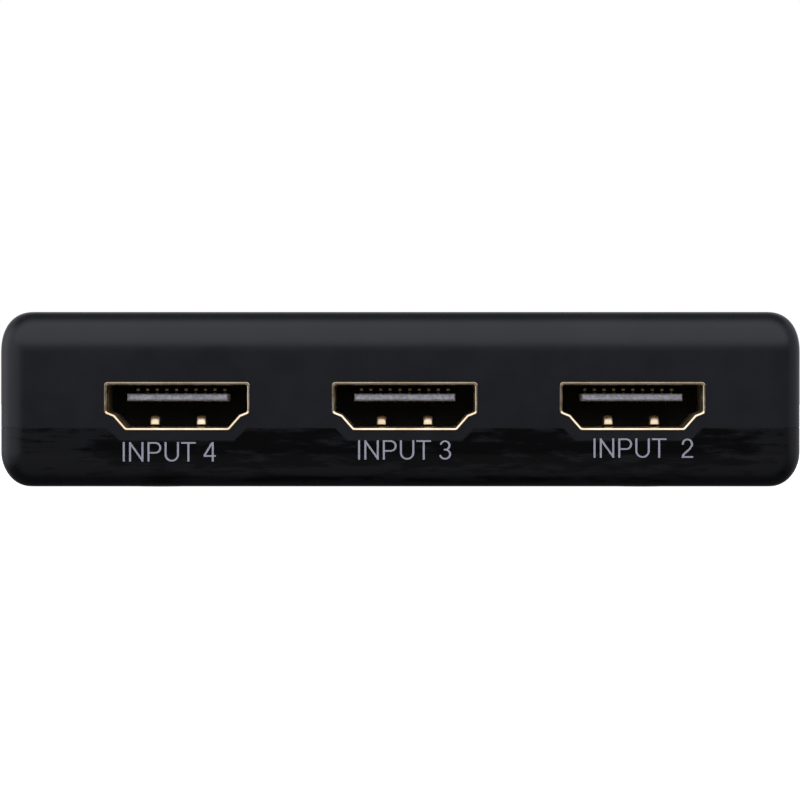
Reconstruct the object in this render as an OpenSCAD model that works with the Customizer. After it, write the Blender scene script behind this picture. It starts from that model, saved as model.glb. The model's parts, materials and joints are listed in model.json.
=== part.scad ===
// Four-input, one-output video switch box, in millimetres.
// The origin is at the middle of the footprint, on the surface that the rubber feet stand on.
// +X runs along the port rows, -Y is the face with ports 4, 3 and 2, and +Z is up.

/* [Body] */
// Width of the covers, along the port rows
body_w = 82; // [81:0.5:88]
// Depth of the covers, from one port face to the other
body_d = 58; // [57:0.5:66]
// Height of the two covers together
body_h = 17.9; // [17.5:0.1:20]
// Thickness of the side walls and of the roof
wall = 1.8; // [1.6:0.1:2]
// Thickness of the bottom cover's floor
floor_t = 2; // [1.8:0.1:2.2]
// Height of the seam between the covers, above the bottom face
seam_h = 6; // [5.8:0.1:6.4]

/* [Ports] */
// Distance between neighbouring ports
port_pitch = 23.2; // [22.8:0.1:23.6]
// How far the middle port sits off the middle of the body
port_shift = 0.45; // [0:0.05:0.5]
// Width of a port's metal shell
port_w = 14.8; // [14.6:0.1:15]
// Height of a port's metal shell
port_h = 5.1; // [5:0.1:5.3]
// How far a shell stands proud of the port face
port_proud = 0.1; // [0:0.05:0.3]
// Length of a metal shell, from its mouth to its back
shell_l = 11; // [10.8:0.1:11.2]

/* [Select button] */
// Diameter of the key cap
cap_d = 9; // [8:0.5:10]
// How far the cap stands proud of the top face
cap_proud = 0.35; // [0.35:0.05:1.2]

/* [Feet] */
// Diameter of a rubber foot
foot_d = 7; // [6:0.5:7.5]
// How far the feet hold the bottom face off the table
foot_out = 0.15; // [0.1:0.05:0.6]

/* [Hidden] */
$fn = 48;
PORTS = ["input_1", "input_2", "input_3", "input_4", "output"];
PORT_PIECES = ["shell", "insulator", "tongue", "contacts"];

// Heights above the table
bottom_z = foot_out;
top_z = foot_out + body_h;
seam_z = foot_out + seam_h;
roof_z = top_z - wall;
board_t = 1.6;
board_z = foot_out + 5.7;

// Rounding of the covers: corner radius in plan, and the width and height of the top and bottom edge rounds
plan_r = 3.6;
top_round = [3, 3.5];
base_round = [3, 3.6];
corner_steps = 8;

// Where the covers are screwed together
screw_x = body_w / 2 - 5.8;
screw_y = body_d / 2 - 5.8;
post_d = 7;
boss_d = 5.5;
screw_head_d = 4.8;
screw_head_h = 1.6;
screw_d = 2.6;
screw_l = 9;
counterbore_h = 2.6;
foot_x = 25;
foot_y = body_d / 2 - 12;
foot_t = 1.1;

// Ports: where each one is along X, and which face it opens on (-1 front, 1 rear)
shell_t = 0.3;
gap = 0.12;
tongue_w = 10.3;
tongue_z = [3.05, 3.8];
tongue_tip = 1.2;
block_y = 7.6;
block_l = 3.8;
contact_w = 0.32;
contact_sink = 0.08;
contact_rise = 0.1;
riser_y = 8.1;
window_z = [4.1, 4.52];
tail_y = 11.9;
leg_places = [4, 9.5];
spring_x = 2.37;

// Power jack, select button and lights
jack_x = port_shift - port_pitch;
jack_size = [7, 9.5, 7.2];
jack_axis_h = 3.6;
jack_bore_r = 1.9;
jack_pin_r = 0.65;
jack_root_r = 0.85;
jack_floor = 1;
jack_hole_r = 2.6;
button_at = [27, -4];
key_h = 4.3;
light_y = -4;
light_x = [-24, -14, -4, 6];
rod_d = 2.2;
chip_at = [-2, 6.5];
chip_w = 10;
control_at = [24, 9];
regulator_at = [-29, 10];

function column_x(column) = port_shift + column * port_pitch;
function port_x(port) = column_x(port == "input_4" ? -1 : port == "input_3" || port == "output" ? 0 : 1);
function port_side(port) = port == "input_1" || port == "output" ? 1 : -1;
function unit(v) = v / norm(v);

// Corner q of a polygon, moved out by d from both of its edges; the polygon runs clockwise
function mitred(p, q, r, d) =
    let (a = unit(q - p), b = unit(r - q), n = [-a.y, a.x], m = [-b.y, b.x])
    q + d * (n + m) / (1 + n * m);
function grown(outline, d) =
    let (last = len(outline) - 1)
    [for (i = [0 : last]) mitred(outline[i > 0 ? i - 1 : last], outline[i], outline[i < last ? i + 1 : 0], d)];

// Corner q of a polygon as an arc of radius r between the edges to p and s
function arc_corner(p, q, s, r, steps = 4) =
    let (u = unit(p - q), v = unit(s - q), half = acos(u * v) / 2)
    let (centre = q + unit(u + v) * r / sin(half))
    let (from = q + u * r / tan(half) - centre, to = q + v * r / tan(half) - centre)
    [for (i = [0 : steps]) centre + r * unit(from * (1 - i / steps) + to * i / steps)];
function rounded(outline, r) =
    let (last = len(outline) - 1)
    [for (i = [0 : last]) each arc_corner(outline[i > 0 ? i - 1 : last], outline[i], outline[i < last ? i + 1 : 0], r)];

// Outside of a port's metal shell, clockwise from the top left, with the bottom face at 0
port_outline = [
    [-port_w / 2, port_h], [port_w / 2, port_h], [port_w / 2, port_h - 3.25], [port_w / 2 - 0.53, port_h - 3.5],
    [port_w / 2 - 2.05, 0], [2.05 - port_w / 2, 0], [0.53 - port_w / 2, port_h - 3.5], [-port_w / 2, port_h - 3.25]
];

// A rectangle in plan with round corners, set in from the body's outline
function plan_ring(inset, steps = corner_steps) =
    let (r = plan_r - inset)
    [for (c = [0 : 3], i = [0 : steps])
        let (a = 90 * (c + i / steps), sx = c == 0 || c == 3 ? 1 : -1, sy = c < 2 ? 1 : -1)
        [sx * (body_w / 2 - plan_r) + r * cos(a), sy * (body_d / 2 - plan_r) + r * sin(a)]];

// A stack of [inset, height] rings, joined into one closed solid
module stacked(levels) {
    n = len(plan_ring(0));
    m = len(levels);
    points = [for (level = levels, p = plan_ring(level[0])) [p.x, p.y, level[1]]];
    sides = [for (k = [0 : m - 2], i = [0 : n - 1])
        let (j = (i + 1) % n)
        [k * n + i, (k + 1) * n + i, (k + 1) * n + j, k * n + j]];
    caps = [[for (i = [0 : n - 1]) i], [for (i = [n - 1 : -1 : 0]) (m - 1) * n + i]];
    polyhedron(points = points, faces = concat(sides, caps));
}

module along_y(from, to) {
    translate([0, to, 0]) rotate([90, 0, 0]) linear_extrude(to - from) children();
}

module along_x(from, to) {
    translate([from, 0, 0]) rotate([90, 0, 90]) linear_extrude(to - from) children();
}

module block(size, at) {
    translate([at.x - size.x / 2, at.y - size.y / 2, at.z]) cube(size);
}

module at_screws() {
    for (sx = [-1, 1], sy = [-1, 1]) translate([sx * screw_x, sy * screw_y, 0]) children();
}

// Puts a shape made with its mouth at y = 0, opening towards -Y, at a port's place
module at_port(port) {
    side = port_side(port);
    translate([port_x(port), side * (body_d / 2 + port_proud), board_z]) rotate([0, 0, side > 0 ? 180 : 0]) children();
}

// ---- Covers ----

// The plate below a front port that the top cover carries down past the seam
module port_apron(grow) {
    bottom = board_z - 0.95;
    polygon(grown([[-7.3, seam_z], [-7.1, seam_z], [7.1, seam_z], [7.3, seam_z], [5.8, bottom], [-5.8, bottom]], grow));
}

module aprons(grow, from, to) {
    for (port = ["input_2", "input_3", "input_4"])
        translate([port_x(port), 0, 0]) along_y(from, to) port_apron(grow);
}

// The block below a rear port that the bottom cover carries up past the seam
module cradles(grow, from, to) {
    cradle_w = port_w + 2.4 + 2 * grow;
    cradle_top = board_z + port_h - 3.25 + grow;
    for (port = ["input_1", "output"])
        translate([port_x(port) - cradle_w / 2, from, seam_z - 0.5]) cube([cradle_w, to - from, cradle_top - seam_z + 0.5]);
}

module port_hole(port) {
    at_port(port) along_y(-1, wall + 1) polygon(rounded(grown(port_outline, gap), 0.3));
}

// The thin wall of the bottom cover that stands up inside the top cover
module seam_lip(clearance) {
    difference() {
        linear_extrude(1 + clearance) polygon(plan_ring(wall / 2 + 0.05 - clearance));
        translate([0, 0, -1]) linear_extrude(4) polygon(plan_ring(wall + clearance));
        for (side = [-1, 1], i = [-1, 0, 1])
            block([port_w + 5, 6, 4], [column_x(i), side * body_d / 2, -1]);
    }
}

module cavity(from, to) {
    translate([0, 0, from]) linear_extrude(to - from) polygon(plan_ring(wall));
}

module top_cover() {
    boss_h = roof_z - board_z;
    well_h = boss_h - 0.1;
    color([0.13, 0.13, 0.14]) difference() {
        union() {
            difference() {
                union() {
                    stacked(concat(
                        [[0, seam_z]],
                        [for (i = [0 : corner_steps])
                            let (a = 90 * i / corner_steps)
                            [top_round.x * (1 - cos(a)), top_z - top_round.y * (1 - sin(a))]]
                    ));
                    aprons(0, -body_d / 2, wall - body_d / 2);
                }
                cavity(seam_z - 1, roof_z);
                translate([0, 0, seam_z - 0.01]) seam_lip(0.1);
                cradles(0.06, body_d / 2 - wall - 1, body_d / 2 + 1);
                for (port = PORTS) port_hole(port);
                translate([jack_x, 0, board_z + jack_axis_h]) along_y(body_d / 2 - wall - 1, body_d / 2 + 1)
                    circle(jack_hole_r);
            }
            at_screws() translate([0, 0, board_z]) cylinder(d = boss_d, h = boss_h);
            translate([button_at.x, button_at.y, roof_z - well_h]) cylinder(d = cap_d + 4.6, h = well_h);
            for (x = [light_x[0] + 5, light_x[3] - 5])
                translate([x, light_y, roof_z - 2.4]) cylinder(d = 1.4, h = 2.4);
        }
        at_screws() translate([0, 0, board_z - 1]) cylinder(r = screw_d / 2 - 0.2, h = 8);
        translate([button_at.x, button_at.y, roof_z - well_h - 1]) cylinder(d = cap_d + 3, h = well_h + 1);
        translate([button_at.x, button_at.y, roof_z - 1]) cylinder(d = cap_d + 0.3, h = wall + 2);
        for (x = light_x) translate([x, light_y, roof_z - 1]) cylinder(d = rod_d + 0.1, h = wall + 2);
    }
}

module bottom_cover() {
    color([0.07, 0.07, 0.08]) difference() {
        union() {
            difference() {
                stacked(concat(
                    [for (i = [0 : corner_steps])
                        let (a = 90 * i / corner_steps)
                        [base_round.x * (1 - sin(a)), bottom_z + base_round.y * (1 - cos(a))]],
                    [[0, seam_z]]
                ));
                cavity(bottom_z + floor_t, seam_z + 1);
                aprons(0.06, -body_d / 2 - 1, wall - body_d / 2 + 0.06);
            }
            translate([0, 0, seam_z]) seam_lip(0);
            cradles(0, body_d / 2 - wall, body_d / 2);
            at_screws() translate([0, 0, bottom_z + 1]) cylinder(d = post_d, h = board_z - board_t - bottom_z - 1);
        }
        for (port = ["input_1", "output"]) port_hole(port);
        at_screws() {
            translate([0, 0, bottom_z - 1]) cylinder(d = screw_head_d + 0.4, h = counterbore_h + 1);
            cylinder(d = screw_d + 0.4, h = seam_z);
        }
        for (sx = [-1, 1], sy = [-1, 1])
            translate([sx * foot_x, sy * foot_y, -1]) cylinder(d = foot_d + 0.2, h = 1 + foot_t);
    }
}

module cover_screws() {
    seat_z = bottom_z + counterbore_h;
    color([0.55, 0.55, 0.57]) at_screws() translate([0, 0, seat_z]) difference() {
        union() {
            translate([0, 0, -screw_head_h]) cylinder(d = screw_head_d, h = screw_head_h);
            cylinder(d = screw_d, h = screw_l - 1);
            translate([0, 0, screw_l - 1]) cylinder(d1 = screw_d, d2 = 1.2, h = 1);
        }
        for (a = [0, 90]) rotate([0, 0, a]) block([2.6, 0.6, 1.1], [0, 0, -screw_head_h - 0.1]);
    }
}

module rubber_feet() {
    color([0.16, 0.16, 0.16]) for (sx = [-1, 1], sy = [-1, 1])
        translate([sx * foot_x, sy * foot_y, 0]) cylinder(d = foot_d, h = foot_t);
}

// ---- Select button and lights ----

module select_button() {
    flange_z = roof_z - 1.1;
    cap_z = top_z + cap_proud;
    key_top = board_z + key_h;
    color([0.2, 0.2, 0.21]) translate([button_at.x, button_at.y, 0]) rotate_extrude() polygon([
        [0, key_top], [2, key_top], [2, flange_z], [cap_d / 2 + 1.25, flange_z], [cap_d / 2 + 1.25, flange_z + 1],
        [cap_d / 2, flange_z + 1], [cap_d / 2, cap_z - 0.4], [cap_d / 2 - 0.12, cap_z - 0.12], [cap_d / 2 - 0.4, cap_z],
        [3, cap_z - 0.12], [1.5, cap_z - 0.2], [0, cap_z - 0.22]
    ]);
}

module light_guide() {
    bar_z = roof_z - 1.9;
    led_top = board_z + 1.1;
    bar_l = light_x[3] - light_x[0];
    color([0.85, 0.87, 0.9]) difference() {
        union() {
            for (x = light_x) translate([x, light_y, led_top]) cylinder(d = rod_d, h = top_z + 0.1 - led_top);
            translate([light_x[0], light_y - 1.3, bar_z]) cube([bar_l, 2.6, 1.2]);
        }
        for (x = [light_x[0] + 5, light_x[3] - 5]) translate([x, light_y, bar_z - 1]) cylinder(d = 1.5, h = 4);
    }
}

// ---- One port: shell, insulator, tongue and contacts, with the mouth at y = 0 ----

module spring_leaf() {
    leaf_root = block_y + 0.2;
    along_x(-0.48, 0.48) polygon([
        [leaf_root, 0], [leaf_root, shell_t], [7, 0.35], [3.7, 1.5], [3.2, 1.56], [2.7, 1.42], [2.25, 1],
        [2.1, 0.62], [2.35, 0.55], [2.5, 0.84], [2.85, 1.16], [3.2, 1.28], [3.6, 1.24], [6.9, 0]
    ]);
}

module port_shell() {
    color([0.83, 0.69, 0.36]) {
        difference() {
            along_y(0, shell_l) polygon(rounded(port_outline, 0.5));
            along_y(-1, shell_l + 1) polygon(rounded(grown(port_outline, -shell_t), 0.25));
            for (sx = [-1, 1]) block([1.4, block_y - 1.7, 0.8], [sx * spring_x, block_y / 2 + 0.75, -0.2]);
        }
        for (sx = [-1, 1]) {
            translate([sx * spring_x, 0, 0]) spring_leaf();
            for (y = leg_places) block([0.4, 1.2, 5.2], [sx * (port_w / 2 + 0.05), y, -board_t - 0.6]);
        }
    }
}

function upper_contacts() = [for (i = [-4.5 : 4.5]) i];
function lower_contacts() = [for (i = [-4 : 4]) i];

module port_insulator() {
    slack = 0.04;
    color([0.1, 0.1, 0.1]) difference() {
        along_y(block_y, block_y + block_l) polygon(rounded(grown(port_outline, -shell_t - slack), 0.2));
        block([tongue_w + 0.04, 2.1, 0.79], [0, block_y, tongue_z[0] - 0.02]);
        for (x = upper_contacts()) {
            block([0.36, 2, 0.12], [x, block_y, tongue_z[1]]);
            block([0.4, 1, window_z[1] - window_z[0]], [x, riser_y - 0.5, window_z[0]]);
            block([0.36, 6, window_z[1] - tongue_z[1] + 0.1], [x, riser_y + 2.95, tongue_z[1] - 0.1]);
        }
        for (x = lower_contacts()) block([0.36, 6, 0.26], [x, block_y + 2, tongue_z[0] - contact_rise - 0.03]);
    }
}

module port_tongue() {
    tip_drop = 0.18;
    end_y = block_y + 1;
    color([0.8, 0.8, 0.84]) difference() {
        along_x(-tongue_w / 2, tongue_w / 2) polygon([
            [tongue_tip, tongue_z[0] + tip_drop], [tongue_tip, tongue_z[1] - tip_drop],
            [tongue_tip + 0.35, tongue_z[1]], [end_y, tongue_z[1]], [end_y, tongue_z[0]], [tongue_tip + 0.35, tongue_z[0]]
        ]);
        for (x = upper_contacts())
            block([0.36, 12, 1], [x, 6, tongue_z[1] - contact_sink - 0.02]);
        for (x = lower_contacts())
            block([0.36, 12, 1], [x, 6, tongue_z[0] + contact_sink + 0.02 - 1]);
    }
}

module port_contacts() {
    t = contact_rise + contact_sink;
    up = tongue_z[1] - contact_sink;
    low = tongue_z[0] - contact_rise;
    crest = window_z[1] - 0.04;
    tip = tongue_tip + 0.35;
    color([0.86, 0.7, 0.3]) {
        for (x = upper_contacts()) along_x(x - contact_w / 2, x + contact_w / 2) polygon([
            [tip, up], [tip, up + t], [riser_y, up + t], [riser_y, crest], [tail_y, crest], [tail_y, 0.18],
            [12.6, 0.18], [12.6, 0], [tail_y - t, 0], [tail_y - t, crest - t], [riser_y + t, crest - t],
            [riser_y + t, up]
        ]);
        for (x = lower_contacts()) along_x(x - contact_w / 2, x + contact_w / 2) polygon([
            [tip, low], [tip, low + t], [tail_y, low + t], [tail_y, 0.18], [12.6, 0.18], [12.6, 0],
            [tail_y - t, 0], [tail_y - t, low]
        ]);
    }
}

// ---- Power jack ----

module at_jack() {
    translate([jack_x, body_d / 2 - wall - 0.2, board_z]) children();
}

module power_jack_housing() {
    at_jack() color([0.12, 0.12, 0.12]) difference() {
        block(jack_size, [0, -jack_size.y / 2, 0]);
        translate([0, 0, jack_axis_h]) along_y(jack_floor - jack_size.y, 1) circle(jack_bore_r);
        translate([0, 0, jack_axis_h]) along_y(-jack_size.y - 1, 0) circle(jack_root_r);
    }
}

module power_jack_pin() {
    at_jack() color([0.8, 0.8, 0.8]) translate([0, 0, jack_axis_h]) {
        along_y(-jack_size.y, jack_floor - jack_size.y) circle(jack_root_r);
        along_y(jack_floor - jack_size.y, -1.4) circle(jack_pin_r);
        translate([0, -1.4, 0]) rotate([-90, 0, 0]) cylinder(r1 = jack_pin_r, r2 = 0.35, h = 0.4);
    }
}

module power_jack_terminals() {
    leg_top = jack_axis_h + 0.9;
    at_jack() color([0.75, 0.75, 0.75]) {
        block([2, 0.3, leg_top + board_t + 0.6], [0, -jack_size.y - 0.15, -board_t - 0.6]);
        for (sx = [-1, 1])
            block([0.3, 1.8, leg_top + board_t + 0.6], [sx * (jack_size.x / 2 + 0.15), -4, -board_t - 0.6]);
    }
}

// ---- Key switch under the select button ----

module at_key() {
    translate([button_at.x, button_at.y, board_z]) children();
}

module key_switch_base() {
    at_key() color([0.15, 0.15, 0.15]) difference() {
        block([6, 6, 3.4], [0, 0, 0]);
        translate([0, 0, 1.2]) cylinder(d = 4.5, h = 4);
    }
}

module key_switch_plate() {
    at_key() color([0.75, 0.76, 0.78]) difference() {
        block([6, 6, 0.2], [0, 0, 3.4]);
        cylinder(d = 3.6, h = 5);
    }
}

module key_switch_plunger() {
    at_key() color([0.3, 0.3, 0.3]) {
        translate([0, 0, 2.3]) cylinder(d = 4.2, h = 0.8);
        translate([0, 0, 3.1]) cylinder(d = 3.4, h = key_h - 3.1);
        translate([0, 0, 1.9]) cylinder(d = 1.4, h = 0.4);
    }
}

module key_switch_dome() {
    at_key() color([0.8, 0.8, 0.82]) translate([0, 0, 1.2]) rotate_extrude() polygon([
        [0, 0.7], [0.7, 0.66], [1.4, 0.46], [2.1, 0.08], [2.1, 0], [1.9, 0], [1.35, 0.38], [0.7, 0.57], [0, 0.61]
    ]);
}

module key_switch_terminals() {
    at_key() color([0.75, 0.75, 0.75]) for (sx = [-1, 1], sy = [-1, 1])
        block([0.3, 0.7, board_t + 1.4], [sx * 3.15, sy * 2.25, -board_t - 0.6]);
}

// ---- Circuit board and what is soldered to it ----

module circuit_board() {
    clearance = wall + 0.4;
    color([0.05, 0.3, 0.16]) difference() {
        translate([0, 0, board_z - board_t]) linear_extrude(board_t) polygon(plan_ring(clearance));
        at_screws() cylinder(d = screw_d + 0.5, h = board_z + 1);
        for (port = PORTS) at_port(port) for (sx = [-1, 1], y = leg_places)
            block([0.8, 1.6, 4], [sx * (port_w / 2 + 0.05), y, -3]);
        at_jack() {
            block([2.4, 0.7, 4], [0, -jack_size.y - 0.15, -3]);
            for (sx = [-1, 1]) block([0.7, 2.2, 4], [sx * (jack_size.x / 2 + 0.15), -4, -3]);
        }
        at_key() for (sx = [-1, 1], sy = [-1, 1]) block([0.7, 1.1, 4], [sx * 3.15, sy * 2.25, -3]);
    }
}

// A row of gull-wing leads on the +X side of a chip whose body is half_w wide from its middle
module lead_row(count, pitch, half_w, width, foot) {
    for (i = [0 : count - 1])
        translate([0, (i - (count - 1) / 2) * pitch, 0]) translate([0, -width / 2, 0]) rotate([90, 0, 0])
            mirror([0, 0, 1]) linear_extrude(width) polygon([
                [half_w, 0.6], [half_w, 0.75], [half_w + 0.45, 0.75], [half_w + 0.6, 0.15], [half_w + foot, 0.15],
                [half_w + foot, 0], [half_w + 0.45, 0], [half_w + 0.35, 0.6]
            ]);
}

module chip_body(w, d, h) {
    translate([0, 0, 0.1]) difference() {
        block([w, d, h], [0, 0, 0]);
        translate([-w / 2 + 1.1, d / 2 - 1.1, h - 0.1]) cylinder(d = 0.9, h = 1);
    }
}

module switch_chip() {
    color([0.09, 0.09, 0.09]) translate([chip_at.x, chip_at.y, board_z]) chip_body(chip_w, chip_w, 1.4);
}

module switch_chip_leads() {
    color([0.75, 0.75, 0.75]) translate([chip_at.x, chip_at.y, board_z]) for (a = [0 : 90 : 270])
        rotate([0, 0, a]) lead_row(16, 0.5, chip_w / 2, 0.22, 1);
}

module control_chip() {
    color([0.09, 0.09, 0.09]) translate([control_at.x, control_at.y, board_z]) chip_body(3.9, 8.6, 1.5);
}

module control_chip_leads() {
    color([0.75, 0.75, 0.75]) translate([control_at.x, control_at.y, board_z]) for (a = [0, 180])
        rotate([0, 0, a]) lead_row(14 / 2, 1.2, 1.95, 0.4, 1.05);
}

module voltage_regulator() {
    color([0.09, 0.09, 0.09]) translate([regulator_at.x, regulator_at.y, board_z]) chip_body(3.5, 6.5, 1.6);
}

module regulator_leads() {
    color([0.75, 0.75, 0.75]) translate([regulator_at.x, regulator_at.y, board_z]) {
        lead_row(3, 2.3, 1.75, 0.7, 1.5);
        rotate([0, 0, 180]) lead_row(1, 1, 1.75, 3, 1.5);
    }
}

module crystal() {
    color([0.75, 0.76, 0.78]) translate([13, 7.5, board_z]) {
        for (sy = [-1, 1]) translate([0, sy * 3, 0.5]) cylinder(d = 4.2, h = 3);
        block([4.2, 6, 3], [0, 0, 0.5]);
        block([4.8, 11, 0.5], [0, 0, 0]);
    }
}

module bulk_capacitors() {
    color([0.7, 0.7, 0.74]) for (y = [-10, -3, 4]) translate([-35, y, board_z]) {
        block([5.3, 5.3, 0.8], [0, 0, 0]);
        translate([0, 0, 0.8]) cylinder(d = 5, h = 4.6);
    }
}

module chip_capacitors() {
    color([0.62, 0.5, 0.36]) {
        for (x = [-12, -9.6, 5.6, 8], y = [0, 4, 8, 12]) block([0.8, 1.6, 0.7], [x, y, board_z]);
        for (x = [-30 : 3 : -18]) block([1.6, 0.8, 0.7], [x, 2, board_z]);
    }
}

module chip_resistors() {
    color([0.1, 0.1, 0.11]) {
        for (x = light_x) block([1.6, 0.8, 0.5], [x, light_y - 3.4, board_z]);
        for (x = [11 : 2.4 : 18.2], y = [-12, -9]) block([0.8, 1.6, 0.5], [x, y, board_z]);
    }
}

module surge_arrays() {
    color([0.1, 0.1, 0.11]) {
        for (i = [-1, 0, 1], dx = [-3.2, 0, 3.2]) block([2.5, 1, 0.6], [column_x(i) + dx, -14.8, board_z]);
        for (i = [0, 1], dx = [-3.2, 0, 3.2]) block([2.5, 1, 0.6], [column_x(i) + dx, 15, board_z]);
    }
}

module indicator_leds() {
    color([0.9, 0.92, 0.85]) for (x = light_x) block([3.2, 1.6, 0.8], [x, light_y, board_z]);
}

// ---- Nodes ----

for (port = PORTS) {
    at_port(port) port_shell();
    at_port(port) port_insulator();
    at_port(port) port_tongue();
    at_port(port) port_contacts();
}
top_cover();
bottom_cover();
cover_screws();
rubber_feet();
select_button();
light_guide();
power_jack_housing();
power_jack_pin();
power_jack_terminals();
key_switch_base();
key_switch_plate();
key_switch_plunger();
key_switch_dome();
key_switch_terminals();
circuit_board();
switch_chip();
switch_chip_leads();
control_chip();
control_chip_leads();
voltage_regulator();
regulator_leads();
crystal();
bulk_capacitors();
chip_capacitors();
chip_resistors();
surge_arrays();
indicator_leds();
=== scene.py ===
"""The looks of a flat video switch box: covers, sockets, prints, materials and studio, round its CAD frame.

Shapes are modelled in millimetres in the frame's own axes, and settle() turns them into metres.
"""

import json
import math

import bmesh
import bpy
from mathutils import Matrix, Vector


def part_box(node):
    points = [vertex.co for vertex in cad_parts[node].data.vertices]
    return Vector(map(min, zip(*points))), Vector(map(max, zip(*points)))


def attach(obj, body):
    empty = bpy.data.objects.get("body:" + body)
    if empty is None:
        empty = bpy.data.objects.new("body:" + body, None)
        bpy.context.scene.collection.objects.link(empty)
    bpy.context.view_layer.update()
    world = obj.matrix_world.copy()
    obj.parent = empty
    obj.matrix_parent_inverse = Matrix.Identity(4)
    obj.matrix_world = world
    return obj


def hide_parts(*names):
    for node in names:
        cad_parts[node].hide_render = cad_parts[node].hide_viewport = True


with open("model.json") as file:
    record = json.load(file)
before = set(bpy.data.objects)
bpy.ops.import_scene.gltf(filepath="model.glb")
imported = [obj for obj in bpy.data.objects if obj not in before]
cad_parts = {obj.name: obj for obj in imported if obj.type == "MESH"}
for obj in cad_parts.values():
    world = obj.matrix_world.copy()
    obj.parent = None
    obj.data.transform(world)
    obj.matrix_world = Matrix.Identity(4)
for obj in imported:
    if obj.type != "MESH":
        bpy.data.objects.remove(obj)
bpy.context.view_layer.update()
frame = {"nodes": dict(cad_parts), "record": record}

MM = 0.001
CASE = "case"
KEY = "select_key"


def cad(node):
    """Lowest and highest corner of a CAD node, in millimetres."""
    low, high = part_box(node)
    return low / MM, high / MM


def middle(node):
    low, high = cad(node)
    return (low + high) / 2


# ---- Sizes that the frame doesn't state ----
# In millimetres, but names in _STEPS and LIGHTS are counts, those in _SHARE are ratios, and FLARE_TILT
# is in degrees. Some differ slightly from the CAD part's own, for their looks.

PAST = 5.0  # how far a cutting tool reaches past the body
DEEP = 20.0  # how far one reaches up or down past the seam
BREAK = 0.1  # a broken edge
SINK = 0.5  # how far an added post goes into the roof
WALL = 1.8
FLOOR_T = 2.0
SEAM_H = 6.05
SEAM_GAP = 0.015
PLAN_R = 3.6
# Width, height and power of each cover's superellipse rounding
TOP_ROUND = (3.4, 4.2, 2.3)
BASE_ROUND = (3.0, 3.6, 2.0)
ROUND_STEPS = 16
EDGE_W = 0.11
CRISP_SHARE = 0.4
ROUND_SHARE = 2.0
APRON_DROP = 0.95
APRON_HALF = (7.1, 5.8)
LIP_OPEN = 2.5
CRADLE_GAP = 0.06
PORT_W = 14.8
PORT_TOP = 4.98
PORT_SHOULDER = 1.8
PORT_LEDGE = 1.44
PORT_BASE = 0.08
SHELL_L = 11.0
SHELL_CORNER = 0.34
OUTSIDE_DEPTH = 0.6
BORE_DEPTH = 0.45
RIM_DEPTH = (0.2, 0.7)
RIM_OUT = 0.04
FLARE_W = 0.19
FLARE_TILT = (6.0, 40.0)
FLARE_STEPS = 8
BORE_INSET = 0.32
PORT_GAP = 0.02
TONGUE_W = 10.3
TONGUE_Z = (3.05, 3.8)
TONGUE_TIP = 1.2
TONGUE_END = 8.6
LIP_L = 0.6
GROOVE_HALF = 0.2
GROOVE_DEEP = 0.13
SPRING_X = 2.37
SLOT_HALF = 0.7
SLOT_Y = (1.6, 7.5)
LEAF_HALF = 0.48
LEAF_T = 0.26
LEAF_CROWN = 0.09
CONTACT_T = 0.12
CONTACT_W = 0.37
CONTACT_Z = (3.735, 3.115)
CONTACT_BEND = 0.12
CONTACT_GAP = 0.05
CONTACT_DIP = 0.05
CONTACT_FLAT = 1.4
RISER_Y = 8.19
CREST_Z = 4.42
TAIL_Y = 11.81
TAIL_END = 12.6
LEG_HALF = (0.2, 0.6)
LEG_Y = (4.0, 9.5)
LEG_Z = (-2.2, 3.0)
CRADLE_HALF = PORT_W / 2 + 1.2
SCREW_HEAD_R = 2.4
SCREW_HEAD_H = 1.6
SCREW_R = 1.3
THREAD_D = 0.25
COUNTERBORE = (2.6, 2.6)
POST_R = 3.5
BOSS_R = 2.75
FOOT_R = 3.5
FOOT_T = 1.1
LED_HALF = 1.6
LIGHTS = 4
ROD_R = 1.1
DOME_H = 0.25
BAR_END = 0.6
BAR_HALF = 1.3
BAR_T = 1.2
PEG_IN = 5.0
CAP_R = 4.5
CAP_EDGE = 0.45
CAP_DISH = 0.26
CAP_STEPS = 14
SHAFT_R = 2.0
FLANGE_R = 5.75
FLANGE_T = 1.0
WELL_R = (6.0, 6.8)
JACK_HOLE_R = 2.6

PORTS = ("input_1", "input_2", "input_3", "input_4", "output")
FRONT_PORTS = ("input_2", "input_3", "input_4")
REAR_PORTS = ("input_1", "output")

cover_high = cad("top_cover")[1]
HALF_W = cover_high.x
HALF_D = cover_high.y
TOP_Z = cover_high.z
BOTTOM_Z = cad("bottom_cover")[0].z
CRADLE_Z = cad("bottom_cover")[1].z
ROOF_Z = TOP_Z - WALL
SEAM_Z = BOTTOM_Z + SEAM_H
BOARD_Z = cad("circuit_board")[1].z
APRON_Z = BOARD_Z - APRON_DROP
SCREW_AT = (cad("cover_screws")[1].x - SCREW_HEAD_R, cad("cover_screws")[1].y - SCREW_HEAD_R)
FOOT_AT = (cad("rubber_feet")[1].x - FOOT_R, cad("rubber_feet")[1].y - FOOT_R)
BUTTON_AT = middle("select_button")
LIGHT_Y = middle("indicator_leds").y
LIGHT_FIRST = cad("indicator_leds")[0].x + LED_HALF
LIGHT_STEP = (cad("indicator_leds")[1].x - LED_HALF - LIGHT_FIRST) / (LIGHTS - 1)
LIGHT_X = [LIGHT_FIRST + i * LIGHT_STEP for i in range(LIGHTS)]
PEG_X = (LIGHT_X[0] + PEG_IN, LIGHT_X[-1] - PEG_IN)
JACK_AT = middle("power_jack_pin")
FOUR_CORNERS = [(sx, sy) for sx in (-1, 1) for sy in (-1, 1)]


# ---- Outlines ----


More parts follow.
